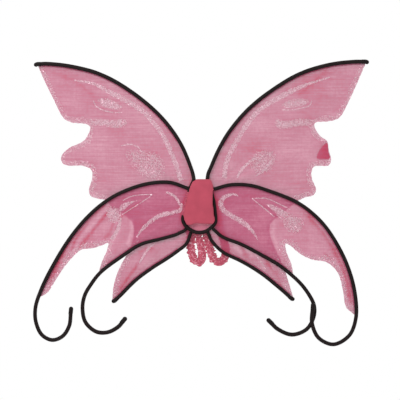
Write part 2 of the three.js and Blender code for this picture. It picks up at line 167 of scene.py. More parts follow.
# An area is (outline, share of it that the flecks cover)
AREAS = {
    ("left", "back"): [
        ([(-247, 252), (-232, 257), (-206, 250), (-187, 238), (-190, 231), (-214, 231), (-238, 240)], 0.55),
        ([(-269, 204), (-240, 207), (-205, 204), (-181, 207), (-177, 196), (-184, 187), (-205, 186),
          (-235, 190), (-262, 192)], 0.52),
        ([(-180, 128), (-140, 132), (-104, 126), (-86, 104), (-90, 66), (-120, 60), (-150, 78)], 0.36),
    ],
    ("right", "back"): [
        ([(262, 250), (246, 256), (214, 252), (197, 240), (203, 233), (228, 235), (250, 240)], 0.55),
        ([(272, 203), (240, 208), (205, 203), (184, 206), (180, 194), (190, 184), (212, 184), (240, 190),
          (268, 192)], 0.52),
        ([(120, 90), (128, 122), (150, 134), (176, 130), (184, 104), (166, 82), (140, 74)], 0.38),
    ],
    ("left", "front"): [
        ([(-150, 11), (-179, 6), (-192, -3), (-194, -15), (-185, -13), (-170, -1), (-160, 6)], 0.6),
        ([(-218, -4), (-196, -8), (-188, -22), (-196, -38), (-214, -44), (-226, -24)], 0.45),
    ],
    ("right", "front"): [
        ([(160, 2), (176, 0), (198, -11), (212, -22), (198, -28), (180, -17)], 0.62),
        ([(206, -20), (228, -26), (246, -44), (238, -66), (214, -64), (200, -42)], 0.42),
    ],
}
BORDER_WIDTH = 13.0
# Tucks, where the cloth is pinched double: (points, width, depth). A negative depth is a thin, pale stretch
TUCKS = {
    ("left", "front"): [
        ([(-233, -5), (-260, -31), (-281, -58), (-300, -85), (-307, -106)], 4, 0.8),
        ([(-223, -18), (-246, -47), (-269, -77), (-288, -101)], 6, 1.0),
        ([(-318, -92), (-333, -122), (-346, -152), (-362, -192)], 6, 0.9),
        ([(-204, -58), (-192, -34), (-180, -19), (-158, -4), (-138, 10)], 3, 0.8),
        ([(-228, -78), (-218, -68), (-208, -44)], 5, 0.7),
        ([(-225, -10), (-250, -40), (-277, -66), (-307, -116)], 5, -0.5),
        ([(-212, -16), (-196, -57), (-206, -78), (-218, -101), (-232, -130)], 6, -0.6),
        ([(-165, -37), (-164, -60), (-174, -92)], 6, -0.8),
    ],
    ("right", "front"): [
        ([(262, -30), (300, -74), (328, -122), (350, -172), (362, -232)], 7, 0.8),
        ([(150, 0), (172, -16), (186, -32)], 4, 0.6),
        ([(300, -118), (322, -140), (336, -180)], 5, 0.6),
        ([(178, -45), (176, -70), (186, -100)], 5, -0.5),
    ],
    ("left", "back"): [
        ([(-140, -125), (-155, -150), (-172, -173), (-190, -200)], 5, 1.0),
        ([(-112, -104), (-128, -106), (-146, -112)], 6, 0.7),
        ([(-120, -96), (-134, -116), (-150, -142)], 3, -0.8),
        ([(-352, 318), (-300, 296), (-262, 268)], 7, 0.4),
    ],
    ("right", "back"): [
        ([(161, -140), (176, -157), (186, -174), (195, -192)], 5, 0.9),
        ([(98, -95), (106, -112), (112, -125)], 6, 0.7),
        ([(150, -120), (166, -138)], 5, 0.6),
        ([(172, -116), (192, -134)], 8, 0.8),
        ([(85, -98), (96, -112)], 8, -0.7),
        ([(114, -108), (126, -120)], 7, -0.5),
        ([(132, -116), (147, -138), (156, -157)], 3, -0.8),
        ([(174, -151), (187, -177), (200, -192)], 4, -0.6),
        ([(300, 318), (270, 290), (240, 268)], 7, 0.4),
    ],
}
# The folded corner of the right upper wing
FLAP = [(281, 113), (288, 133), (305, 149), (308, 130), (311, 112), (296, 110)]

PAD_COVER = [(3, 62), (14, 61.5), (24.5, 60.5), (29.5, 52), (32.6, 41), (32.4, 29), (31.8, 18), (32.2, 6),
             (33.3, -10), (35, -26), (35.5, -38), (30, -45), (18, -46.5), (6, -46), (-5, -45), (-15, -46.5),
             (-26, -49), (-34, -43), (-39.5, -29), (-39, -15), (-36.8, -2), (-33.3, 13), (-29.8, 26),
             (-26, 38), (-22, 48), (-17, 56), (-9, 61)]
# The board's rounded edge, from back to front: (share of the outline's size, depth)
BOARD_PROFILE = [(0.965, -8.25), (0.99, -8.35), (1.0, -8.9), (1.0, -9.4), (0.975, -9.9), (0.93, -10.1)]
CRESCENT = [(-31, -38), (-24, -44), (0, -40), (22, -43), (31, -38), (35, -44), (27, -54), (14, -63),
            (0, -66), (-12, -64.5), (-25, -58), (-36, -48)]
PAD_BACK, PAD_FRONT = -24.0, -31.6
CUSHION_FRONT = -8.0
CUSHION_HALF = [(0, 22), (8, 19.5), (14, 10), (21, -2), (23, -14), (16, -27), (0, -30)]
STRAP_Y = -4.0
STRAPS = {
    "left": [(-10, 44), (-10, 38), (-16, 27), (-29, 14), (-38, -3), (-38.5, -25), (-31, -48), (-24, -68),
             (-21, -85), (-22, -103), (-19, -120), (-12, -133), (-3, -137), (4, -130), (5, -116), (3, -100),
             (-1, -84), (-5.5, -70), (-8.5, -60), (-10, -51), (-10, -45.5)],
    "right": [(10, 44), (10, 38), (16, 27), (30, 14), (41, -6), (45, -32), (49, -55), (55, -78), (60, -98),
              (62, -115), (57, -130), (46, -137), (34, -131), (27.5, -116), (23, -99), (19, -82),
              (14.5, -67), (11, -57), (10, -51), (10, -45.5)],
}

# The direction across each fold line, away from the hub
for joint in frame["joints"]:
    if joint["name"].endswith("_wing_fold"):
        side = joint["child"].split("_")[0]
        across = Vector(joint["axis"]).cross(Vector((0, 1, 0))).normalized()
        if across.x * (1 if side == "right" else -1) < 0:
            across.negate()


def bend_at_fold(piece):
    """Bakes the piece's placement into its points; the piece is not bent at the fold line."""
    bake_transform(piece)
    return piece


# ---------------------------------------------------------------- curves and meshes

def spline(points, step):
    """Evenly spaced points, in millimetres, on a centripetal Catmull-Rom curve through the given ones."""
    p = [np.array(q, float) for q in points]
    p = [2 * p[0] - p[1], *p, 2 * p[-1] - p[-2]]
    fine = []
    for a, b, c, d in zip(p, p[1:], p[2:], p[3:]):
        t0 = 0.0
        t1 = t0 + math.sqrt(max(np.linalg.norm(b - a), 1e-6))
        t2 = t1 + math.sqrt(max(np.linalg.norm(c - b), 1e-6))
        t3 = t2 + math.sqrt(max(np.linalg.norm(d - c), 1e-6))
        for t in np.linspace(t1, t2, 16, endpoint=False):
            ab = (t1 - t) / (t1 - t0) * a + (t - t0) / (t1 - t0) * b
            bc = (t2 - t) / (t2 - t1) * b + (t - t1) / (t2 - t1) * c
            cd = (t3 - t) / (t3 - t2) * c + (t - t2) / (t3 - t2) * d
            abc = (t2 - t) / (t2 - t0) * ab + (t - t0) / (t2 - t0) * bc
            bcd = (t3 - t) / (t3 - t1) * bc + (t - t1) / (t3 - t1) * cd
            fine.append((t2 - t) / (t2 - t1) * abc + (t - t1) / (t2 - t1) * bcd)
    fine.append(p[-2])
    fine = np.array(fine)
    run = np.concatenate([[0], np.cumsum(np.linalg.norm(np.diff(fine, axis=0), axis=1))])
    at = np.linspace(0, run[-1], max(3, int(round(run[-1] / step)) + 1))
    return np.stack([np.interp(at, run, fine[:, k]) for k in range(fine.shape[1])], axis=1)


def closed_spline(points, step):
    """The same through a ring of points, without the repeated last one."""
    path = spline([*points[-2:], *points, *points[:2]], step / 4)
    away = np.linalg.norm(path - np.array(points[0], float), axis=1)
    half = len(path) // 2
    first = np.argmin(away[:half])
    last = len(path) - 1 - np.argmin(away[::-1][:half])
    return path[first:last:4]


def with_depth(points, y):
    return [(x, y, z) for x, z in points]


def mesh_piece(name, vertices, faces, material, uv=None, **attributes):
    """A new object from points in millimetres. uv gives (u, v) for each point in metres."""
    mesh = bpy.data.meshes.new(name)
    places = [tuple(float(c) * MM for c in v) for v in vertices]
    mesh.from_pydata(places, [], [tuple(map(int, f)) for f in faces])
    if uv is not None:
        layer = mesh.uv_layers.new(name="rest")
        index = np.zeros(len(mesh.loops), np.int32)
        mesh.loops.foreach_get("vertex_index", index)
        layer.data.foreach_set("uv", np.asarray(uv, np.float32)[index].ravel())
    for key, values in attributes.items():
        mesh.attributes.new(key, "FLOAT", "POINT").data.foreach_set("value", np.asarray(values, np.float32))
    mesh.update()
    piece = bpy.data.objects.new(name, mesh)
    bpy.context.scene.collection.objects.link(piece)
    mesh.polygons.foreach_set("use_smooth", np.ones(len(mesh.polygons), bool))
    mesh.materials.append(material)
    return piece


def sweep_frames(path):
    """Tangent, side and out-of-plane directions along a route that lies nearly in the wings' plane."""
    tangent = np.gradient(path, axis=0)
    tangent /= np.linalg.norm(tangent, axis=1)[:, None]
    side = np.cross(tangent, (0, 1, 0))
    side /= np.linalg.norm(side, axis=1)[:, None]
    return tangent, side, np.cross(side, tangent)


def plane_normals(path):
    """The direction across a line of (x, z) points, at each of them."""
    tangent = np.gradient(path, axis=0)
    tangent /= np.linalg.norm(tangent, axis=1)[:, None]
    return np.stack([-tangent[:, 1], tangent[:, 0]], axis=1)


def ring_faces(rings, n):
    """The faces between neighbouring rings of n points each."""
    return [(i * n + k, (i + 1) * n + k, (i + 1) * n + (k + 1) % n, i * n + (k + 1) % n)
            for i in range(rings - 1) for k in range(n)]


def used_points(faces):
    """The numbers of the points that some faces use, and the faces over those points alone."""
    keep = sorted({i for f in faces for i in f})
    index = {old: new for new, old in enumerate(keep)}
    return keep, [tuple(index[i] for i in f) for f in faces]


def tube(path, radius, sides=20, round_start=False, round_end=False):
    """Points, faces and uv of a closed tube. radius is a function of the ring's number and the angle."""
    tangent, side, out = sweep_frames(path)
    run = np.concatenate([[0], np.cumsum(np.linalg.norm(np.diff(path, axis=0), axis=1))])
    rings = [(path[i], i, 1.0, run[i]) for i in range(len(path))]
    dome = [math.sin(a) for a in np.linspace(0.25, math.pi / 2 - 0.12, 5)]
    last = len(path) - 1
    if round_end:
        reach = radius(last, 0)
        rings += [(path[-1] + tangent[-1] * reach * c, last, math.sqrt(1 - c * c), run[-1] + reach * c)
                  for c in dome]
    if round_start:
        reach = radius(0, 0)
        opening = [(path[0] - tangent[0] * reach * c, 0, math.sqrt(1 - c * c), -reach * c)
                   for c in dome[::-1]]
        rings = opening + rings
    vertices, uv = [], []
    for centre, i, scale, along in rings:
        for k in range(sides):
            a = 2 * math.pi * k / sides
            r = radius(i, a) * scale
            vertices.append(centre + side[i] * r * math.cos(a) + out[i] * r * math.sin(a))
            uv.append((along * MM, a * WIRE_RADIUS * MM))
    faces = ring_faces(len(rings), sides)
    start, end = len(vertices), len(vertices) + 1
    vertices += [rings[0][0], rings[-1][0]]
    uv += [uv[0], uv[-1]]
    base = (len(rings) - 1) * sides
    for k in range(sides):
        n = (k + 1) % sides
        faces += [(start, k, n), (end, base + n, base + k)]
    return vertices, faces, uv


def inside(points, polygon):
    """Which points lie in a polygon, both as (x, z)."""
    x, z = points[:, 0], points[:, 1]
    result = np.zeros(len(points), bool)
    for (x0, z0), (x1, z1) in zip(polygon, np.roll(polygon, -1, axis=0)):
        if z0 != z1:
            result ^= ((z0 > z) != (z1 > z)) & (x < x0 + (z - z0) * (x1 - x0) / (z1 - z0))
    return result


def distance_to(points, line):
    """Distance from each point to a line of points, both as (x, z)."""
    best = np.full(len(points), 1e9)
    for a, b in zip(line[:-1], line[1:]):
        d = b - a
        t = np.clip(((points - a) @ d) / max(d @ d, 1e-9), 0, 1)
        best = np.minimum(best, np.hypot(*(points - a - t[:, None] * d).T))
    return best


def flat_fill(outline, step, seed):
    """A fine triangle mesh inside an outline of (x, z) points."""
    ring = []
    for a, b in zip(outline, [*outline[1:], outline[0]]):
        a, b = np.array(a, float), np.array(b, float)
        n = max(1, int(round(np.linalg.norm(b - a) / step)))
        ring += [a + (b - a) * i / n for i in range(n)]
    kept = [ring[0]]
    for q in ring[1:]:
        if np.linalg.norm(q - kept[-1]) > step * 0.35:
            kept.append(q)
    ring = np.array(kept)
    rng = np.random.default_rng(seed)
    low, high = ring.min(0), ring.max(0)
    rows = np.arange(low[1], high[1], step * 0.866)
    columns = np.arange(low[0], high[0], step)
    grid = np.array([(x + (j % 2) * step / 2, z) for j, z in enumerate(rows) for x in columns])
    grid += rng.uniform(-0.12, 0.12, grid.shape) * step
    grid = grid[inside(grid, ring)]
    grid = grid[distance_to(grid, np.vstack([ring, ring[:1]])) > step * 0.55]
    points = np.vstack([ring, grid])
    edges = [(i, (i + 1) % len(ring)) for i in range(len(ring))]
    made = delaunay_2d_cdt([Vector(p) for p in points], edges, [], 1, 1e-4)
    return np.array([(v.x, v.y) for v in made[0]]), [tuple(f) for f in made[2]]


# ---------------------------------------------------------------- materials

def new_material(name):
    material = bpy.data.materials.new(name)
    material.use_nodes = True
    tree = material.node_tree
    return material, tree, next(n for n in tree.nodes if n.type == "BSDF_PRINCIPLED")


def set_inputs(tree, made, inputs):
    """Links each input that is given a socket, and sets each one that is given a value."""
    for key, value in inputs.items():
        if isinstance(value, bpy.types.NodeSocket):
            tree.links.new(value, made.inputs[key])
        else:
            made.inputs[key].default_value = value


def node(tree, kind, inputs=None, **settings):
    made = tree.nodes.new(kind)
    for key, value in settings.items():
        setattr(made, key, value)
    set_inputs(tree, made, inputs or {})
    return made


def ramp(tree, value, *stops):
    """Colour from a value. A stop is (position, colour), or (position, grey level)."""
    made = node(tree, "ShaderNodeValToRGB", {"Fac": value})
    elements = made.color_ramp.elements
    while len(elements) < len(stops):
        elements.new(0.5)
    for element, (at, colour) in zip(elements, stops):
        element.position = min(max(at, 0.0), 1.0)
        element.color = (*colour, 1.0) if isinstance(colour, tuple) else (colour, colour, colour, 1.0)
    return made.outputs["Color"]


def scaled(colour, share, lift=0.0):
    return tuple(min(1.0, c * share + lift) for c in colour)


def noise_at(tree, where, scale, detail=3.0, roughness=0.5):
    inputs = {"Vector": where, "Scale": scale, "Detail": detail, "Roughness": roughness}
    return node(tree, "ShaderNodeTexNoise", inputs).outputs["Fac"]


def mixed(tree, share, a, b):
    return node(tree, "ShaderNodeMix", {0: share, 2: a, 3: b}, data_type="FLOAT").outputs[0]


def calc(tree, operation, a, b=0.0):
    return node(tree, "ShaderNodeMath", {0: a, 1: b}, operation=operation).outputs[0]


def rest_uv(tree, scale=(1, 1, 1)):
    where = node(tree, "ShaderNodeUVMap", uv_map="rest").outputs["UV"]
    return node(tree, "ShaderNodeMapping", {"Vector": where, "Scale": scale}).outputs["Vector"]


def object_space(tree, scale=(1, 1, 1)):
    where = node(tree, "ShaderNodeTexCoord").outputs["Object"]
    return node(tree, "ShaderNodeMapping", {"Vector": where, "Scale": scale}).outputs["Vector"]


def attribute(tree, name):
    return node(tree, "ShaderNodeAttribute", attribute_name=name).outputs["Fac"]


def bump(tree, shader, height, distance, strength=1.0):
    made = node(tree, "ShaderNodeBump", {"Height": height, "Distance": distance, "Strength": strength})
    tree.links.new(made.outputs["Normal"], shader.inputs["Normal"])


def sleeve_material():
    """Black plastic sleeve with a faint grain and scuffs."""
    material, tree, shader = new_material("black_sleeve")
    scuff = noise_at(tree, rest_uv(tree), 60.0, 5.0, 0.7)
    colour = ramp(tree, scuff, (0.35, (0.0120, 0.0070, 0.0072)), (0.75, (0.020, 0.0125, 0.0128)))
    gloss = ramp(tree, scuff, (0.3, 0.40), (0.75, 0.58))
    set_inputs(tree, shader, {"Base Color": colour, "Roughness": gloss, "Specular IOR Level": 0.12})
    bump(tree, shader, noise_at(tree, rest_uv(tree), 900.0), 0.0002, 0.5)
    return material


def organza_material(name, tint, deep, alpha):
    """Sheer cloth: fine threads both ways, slubs, a cloudy tone, and deeper colour in the tucks."""
    material, tree, shader = new_material(name)
    slub = noise_at(tree, rest_uv(tree, (11, 330, 1)), 1.0, 4.0, 0.65)
    warp = noise_at(tree, rest_uv(tree, (480, 20, 1)), 1.0, 3.0)
    cloud = noise_at(tree, rest_uv(tree, (9, 12, 1)), 1.0, 3.0, 0.6)
    mottle = noise_at(tree, rest_uv(tree), 150.0, 4.0, 0.7)
    streaks = mixed(tree, 0.2, slub, warp)
    cloudy = mixed(tree, 0.4, cloud, mottle)
    level = mixed(tree, 0.55, streaks, cloudy)
    # The tone also carries a painted shade where the strap lies behind the cloth.
    tone = attribute(tree, "tone")
    pale = calc(tree, "SUBTRACT", level, calc(tree, "MULTIPLY", tone, 0.16))
    colour = ramp(tree, pale, (0.31, deep), (0.485, tint), (0.68, scaled(tint, 1.10, 0.13)))
    across = node(tree, "ShaderNodeTexWave", {"Vector": rest_uv(tree), "Scale": 320.0}, bands_direction="X")
    along = node(tree, "ShaderNodeTexWave", {"Vector": rest_uv(tree), "Scale": 320.0}, bands_direction="Y")
    weave = calc(tree, "MAXIMUM", across.outputs["Fac"], along.outputs["Fac"])
    cover = ramp(tree, pale, (0.31, min(1.0, alpha + 0.10)), (0.485, alpha), (0.68, alpha - 0.06))
    sheer = calc(tree, "MULTIPLY", cover, ramp(tree, weave, (0.15, 0.86), (0.55, 1.03)))
    set_inputs(tree, shader, {"Base Color": colour, "Alpha": sheer, "Roughness": 0.5,
                              "Specular IOR Level": 0.15})
    bump(tree, shader, weave, 0.00012, 0.3)
    return material


def glitter_material():
    """Glitter flecks stuck on the cloth, clear between them."""
    material, tree, shader = new_material("glitter_print")
    cells = node(tree, "ShaderNodeTexVoronoi", {"Vector": rest_uv(tree), "Scale": 760.0}).outputs["Color"]
    random_value = node(tree, "ShaderNodeSeparateColor", {"Color": cells})
    clumps = noise_at(tree, rest_uv(tree), 230.0, 3.0)
    chance = mixed(tree, 0.5, random_value.outputs["Red"], clumps)
    pink, white = (0.72, 0.34, 0.44), (0.90, 0.62, 0.70)
    colour = ramp(tree, random_value.outputs["Green"], (0.0, pink), (0.9, white))
    keep = calc(tree, "GREATER_THAN", attribute(tree, "cover"), chance)
    gloss = ramp(tree, random_value.outputs["Blue"], (0.0, 0.15), (1.0, 0.5))
    set_inputs(tree, shader, {"Base Color": colour, "Alpha": keep, "Roughness": gloss,
                              "Specular IOR Level": 0.3})
    bump(tree, shader, random_value.outputs["Green"], 0.0005, 0.8)
    return material


def flake_material():
    """Single loose sequin flakes."""
    material, tree, shader = new_material("glitter_flake")
    cells = node(tree, "ShaderNodeTexVoronoi", {"Vector": object_space(tree), "Scale": 400.0})
    value = node(tree, "ShaderNodeSeparateColor", {"Color": cells.outputs["Color"]})
    colour = ramp(tree, value.outputs["Red"], (0.0, (0.72, 0.36, 0.47)), (1.0, (0.88, 0.66, 0.74)))
    gloss = ramp(tree, value.outputs["Blue"], (0.0, 0.12), (1.0, 0.35))
    set_inputs(tree, shader, {"Base Color": colour, "Roughness": gloss, "Metallic": 0.5})
    return material


def knit_material(name, colour, scale=900.0, crest=None, sheen=0.12):
    """Stretch fabric: fine knit, a cloudy shade, and, on ruched pieces, painted highlights on the crests and
    painted shade in the hollows.
    """
    material, tree, shader = new_material(name)
    where = object_space(tree)
    cloud = noise_at(tree, where, 38.0, 4.0)
    fuzz = noise_at(tree, where, 2600.0, 2.0)
    shade = ramp(tree, cloud, (0.35, scaled(colour, 0.93)), (0.68, scaled(colour, 1.06)))
    if crest:
        # Painted light: the crest level lifts the crests towards a pale highlight colour and darkens the
        # hollows as painted shade.
        height = attribute(tree, "crest")
        gather = ramp(tree, height, (0.0, scaled(colour, 0.62)), (0.45, scaled(colour, 0.95)),
                      (0.72, scaled(colour, 1.12, 0.015)), (0.95, crest))
        shade = node(tree, "ShaderNodeMix", {0: 0.25, 6: gather, 7: shade}, data_type="RGBA").outputs[2]
    loops = node(tree, "ShaderNodeTexVoronoi", {"Vector": object_space(tree, (1, 1, 0.62)), "Scale": scale})
    height = calc(tree, "ADD", loops.outputs["Distance"], fuzz)
    gloss = ramp(tree, fuzz, (0.3, 0.62 if crest else 0.75), (0.7, 0.8 if crest else 0.92))
    set_inputs(tree, shader, {"Base Color": shade, "Roughness": gloss, "Specular IOR Level": 0.3,
                              "Sheen Weight": sheen, "Sheen Roughness": 0.5,
                              "Sheen Tint": (1.0, 0.72, 0.78, 1.0)})
    bump(tree, shader, height, 0.0003, 0.3)
    return material


def grained_material(name, colour, roughness, metallic=0.0, grain=400.0, depth=0.0002, specular=0.35):
    """A finish with a little grain in colour, roughness and relief."""
    material, tree, shader = new_material(name)
    fine = noise_at(tree, object_space(tree), grain, 4.0)
    shade = ramp(tree, fine, (0.3, scaled(colour, 0.82)), (0.7, scaled(colour, 1.12)))
    gloss = ramp(tree, fine, (0.3, roughness * 0.85), (0.7, min(1.0, roughness * 1.15)))
    set_inputs(tree, shader, {"Base Color": shade, "Roughness": gloss, "Metallic": metallic,
                              "Specular IOR Level": specular})
    bump(tree, shader, fine, depth, 0.5)
    return material


def floor_material():
    """Pale floor that fades out towards its rim."""
    material, tree, shader = new_material("pale_floor")
    where = node(tree, "ShaderNodeTexCoord").outputs["Object"]
    distance = node(tree, "ShaderNodeVectorMath", {0: where}, operation="LENGTH").outputs["Value"]
    fade = ramp(tree, calc(tree, "DIVIDE", distance, FLOOR_RADIUS), (0.35, 1.0), (0.95, 0.0))
    shade = ramp(tree, noise_at(tree, where, 3.0), (0.3, 0.86), (0.7, 0.90))
    set_inputs(tree, shader, {"Base Color": shade, "Alpha": fade, "Roughness": 0.9})
    return material


FLOOR_RADIUS = 3.8
FLOOR_HEIGHT = -0.95
ORGANZA = (0.575, 0.130, 0.240)
ORGANZA_DEEP = (0.590, 0.068, 0.135)
SLEEVE = sleeve_material()
ORGANZA_FRONT = organza_material("organza_front", scaled(ORGANZA, 1.03), ORGANZA_DEEP, 0.86)
# The crescent's doubled organza has its colour lifted as painted light against the shade of the pad above it.
ORGANZA_DOUBLED_PAINTED_LIGHT = organza_material("organza_doubled_painted_light", (0.80, 0.235, 0.34), ORGANZA, 0.98)
ORGANZA_BACK = organza_material("organza_back", ORGANZA, ORGANZA_DEEP, 0.85)
GLITTER = glitter_material()
FLAKE = flake_material()
PAD_KNIT = knit_material("pad_knit", (0.545, 0.080, 0.128), sheen=0.06)
# The last colour given to each ruched finish is its painted highlight on the crests.
STRAP_RUCHE = knit_material("strap_ruche", (0.60, 0.098, 0.160), 700.0, crest=(0.90, 0.52, 0.61))
GATHERED = knit_material("gathered_organza", (0.53, 0.082, 0.145), 700.0, crest=(0.60, 0.16, 0.24))
CAP_VINYL = grained_material("cap_vinyl", (0.0120, 0.0075, 0.0078), 0.5, grain=700.0, specular=0.14)
FELT = grained_material("board_felt", (0.36, 0.075, 0.115), 0.95, grain=900.0, depth=0.0004)
FOAM = grained_material("foam", (0.80, 0.72, 0.60), 0.95, grain=1200.0, depth=0.0005)
STEEL = grained_material("steel_wire", (0.42, 0.42, 0.44), 0.32, metallic=1.0, grain=300.0)
TAPE = grained_material("cloth_tape", (0.16, 0.15, 0.145), 0.65, grain=800.0)
ELASTIC = grained_material("woven_elastic", (0.83, 0.79, 0.77), 0.85, grain=900.0)
THREAD = grained_material("thread", (0.66, 0.20, 0.28), 0.7, grain=900.0)


# ---------------------------------------------------------------- wires

def wire_route(side, which, step):
    """A wire's centre line from under the pad to its tip."""
    depths = CURL_DEPTHS if (side, which) == ("right", "outer") else {}
    points = [(x, depths.get(i, WIRE_Y), z) for i, (x, z) in enumerate(WIRES[side][which])]
    return spline([*ROOTS[side][which], *points], step)


def lumpy(base, seed):
    """Radius by ring and angle: a base radius for each ring, with the small lumps of a bent sleeve."""
    def radius(i, angle):
        lump = noise.noise(Vector((i * 0.09, math.cos(angle) * 0.6 + seed, math.sin(angle) * 0.6)))
        return base[i] * (1.0 + 0.035 * lump)
    return radius


def add_sleeve(side, which, seed):
    path = wire_route(side, which, 2.0)
    base = WIRE_RADIUS * np.linspace(*TAPER[which], len(path))
    vertices, faces, uv = tube(path, lumpy(base, seed))
    piece = mesh_piece(f"{side}_{which}_sleeve", vertices, faces, SLEEVE, uv=uv)
    bend_at_fold(piece)
    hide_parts(f"{side}_{which}_wire")
    if which in ("inner", "tail"):
        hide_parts(f"{side}_{which}_root")


CAPS = {"upper": "upper_tip", "outer": "outer_curl", "inner": "inner_curl", "tail": "tail_tip"}
CAP_HOOK = {"upper": (0.8, -0.4), "tail": (0.6, 0.0)}  # how an end turns: outwards and upwards
CAP_BARREL = 8.0


def add_cap(side, which):
    """A shrunk-on cap over a wire's end. The upper and tail wires end in a short hook."""
    path = wire_route(side, which, 1.0)
    tip, along = path[-1], path[-1] - path[-2]
    along = along / np.linalg.norm(along)
    route = [tip - along * CAP_BARREL, tip - along * CAP_BARREL / 2, tip, tip + along * 3.0]
    if which in CAP_HOOK:
        out, up = CAP_HOOK[which]
        turn = np.array((out * math.copysign(1, tip[0]), 0, up))
        route[-1] = tip + along * 1.5
        route.append(tip + along * 2.5 + turn * 2.6)
    else:
        route.append(tip + along * 6.0)
    line = spline(route, 0.8)
    swell = WIRE_RADIUS * TAPER[which][1] * (1.0 + 0.09 * np.clip(np.arange(len(line)) / 3.0, 0, 1))
    vertices, faces, uv = tube(line, lumpy(swell, 5.0), 24, round_end=True)
    piece = mesh_piece(f"{side}_{CAPS[which]}_end", vertices, faces, CAP_VINYL, uv=uv)
    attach(piece, side + "_wing")
    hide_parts(f"{side}_{CAPS[which]}_cap")


def add_hub_loop():
    path = spline(with_depth(LOOP, LOOP_Y), 2.0)
    base = np.interp(np.linspace(0, 1, len(path)), (0.55, 0.7), (4.4, 3.4))  # thinner up the right side
    vertices, faces, uv = tube(path, lumpy(base, 9.0), round_start=True, round_end=True)
    piece = mesh_piece("pad_loop_sleeve", vertices, faces, SLEEVE, uv=uv)
    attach(piece, "hub")
    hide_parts("hub_loop_wire")


def add_loop_wrap():
    """Gathered cloth sewn round the left stretch of the pad's loop."""
    start, end = 31.0, -25.0
    path = spline(with_depth(LOOP, LOOP_Y), 0.7)
    path = np.array([q for q in path if q[0] < 0 and end < q[2] < start])
    grow = np.minimum(1.0, np.minimum(np.arange(len(path)), np.arange(len(path))[::-1]) / 7.0)

    def gather(i, angle):
        return noise.noise(Vector((i * 0.33, math.cos(angle) * 1.6, math.sin(angle) * 1.6)))

    sides = 28
    vertices, faces, uv = tube(path, lambda i, a: 4.8 + (0.9 + 0.45 * gather(i, a)) * grow[i], sides)
    vertices, faces, uv = vertices[:-2], faces[: -2 * sides], uv[:-2]  # open at both ends
    # Painted light: gathers that stand out get a painted highlight, those that sink in a painted shade.
    crest = [0.5 + 0.9 * gather(k // sides, 2 * math.pi * (k % sides) / sides) for k in range(len(vertices))]
    piece = mesh_piece("loop_cloth_wrap", vertices, faces, GATHERED, uv=uv, crest=np.clip(crest, 0, 1))
    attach(piece, "hub")


# ---------------------------------------------------------------- cloth

CLOTH_STEP = 3.4
FRONT_Y = -10.8
BACK_Y = -9.9
LOOP_REACH = 14.0  # the cloth rises to the loop over this distance
HELD_BY = {"back": ("upper", "tail"), "front": ("outer", "inner")}
FLAKE_COUNT = {"back": 1500, "front": 900}


def ripple(x, z):
    """Soft folds that fan out from the hub, and a little unevenness, about -1 to 1."""
    side = math.copysign(3, x)
    angle, reach = math.atan2(z - 10, abs(x) + 1e-6), math.hypot(x, z - 10)
    fan = noise.noise(Vector((angle * 8.0, reach * 0.004, 7.0 + side)))
    fine = noise.noise(Vector((angle * 22.0, reach * 0.009, 2.0 + side)))
    broad = noise.noise(Vector((x * 0.012, z * 0.012, 4.0)))
    return fan * 0.9 + fine * 0.35 + broad * 0.7


def xz(path):
    return [(q[0], q[2]) for q in path]


def rough_edge(points, seed):
    """A hand-cut edge: a smooth line with a slight waver."""
    path = spline(points, 2.5)
    for i, q in enumerate(path[1:-1], 1):
        q += [0.9 * noise.noise(Vector((i * 0.35, seed, k * 7.0))) for k in range(2)]
    return [tuple(q) for q in path]


def sheet_outline(side, layer):
    """Outline of a sheet, the stretch held by wires and the free edge, as (x, z) points."""
    loop = xz(spline(with_depth(LOOP, 0), 4.0))
    half = [p for p in loop if (p[0] < 0) == (side == "left")]
    if side == "right":
        half = half[::-1]
    upper, outer, inner, tail = (xz(wire_route(side, w, 4.0)) for w in ("upper", "outer", "inner", "tail"))
    if layer == "back":
        edge = rough_edge(BACK_EDGE[side], 1.0)
        far, near, hub = upper, tail, half
    else:
        edge = rough_edge(FRONT_EDGE[side], 2.0)
        far = [q for i, q in enumerate(outer) if all(p[1] > edge[0][1] for p in outer[: i + 1])]
        near = [q for i, q in enumerate(inner) if all(abs(p[0]) < abs(edge[-1][0]) for p in inner[: i + 1])]
        hub = [p for p in half if inner[0][1] < p[1] < outer[0][1]]
    held = [*near[::-1], *hub[::-1], *far]
    return [*far, *edge, *near[::-1], *hub[::-1]], np.array(held), np.array(edge)


def cloth_depth(points, side, layer, held):
    """Depth of a sheet: at the wires' backs where they hold it, and free to ripple away from them."""
    slack = np.clip(distance_to(points, held) / 60.0, 0, 1) ** 0.8
    loop = np.array(LOOP, float)
    rise = 3.0 * np.clip(1 - distance_to(points, loop) / LOOP_REACH, 0, 1)
    pinch = np.zeros(len(points))
    for line, width, depth in TUCKS[side, layer]:
        pinch += depth * np.exp(-(distance_to(points, spline(line, 6.0)) / (width * 0.6)) ** 2)
    wave = 3.0 * slack * np.array([ripple(x, z) for x, z in points])
    if layer == "front":
        return FRONT_Y + wave - 0.5 * slack - rise - 1.6 * pinch * slack
    own = np.array([1 + noise.noise(Vector((x * 0.02, z * 0.02, 11.0))) for x, z in points])
    return BACK_Y + wave + 0.9 * slack * own - rise - 1.0 * pinch * slack


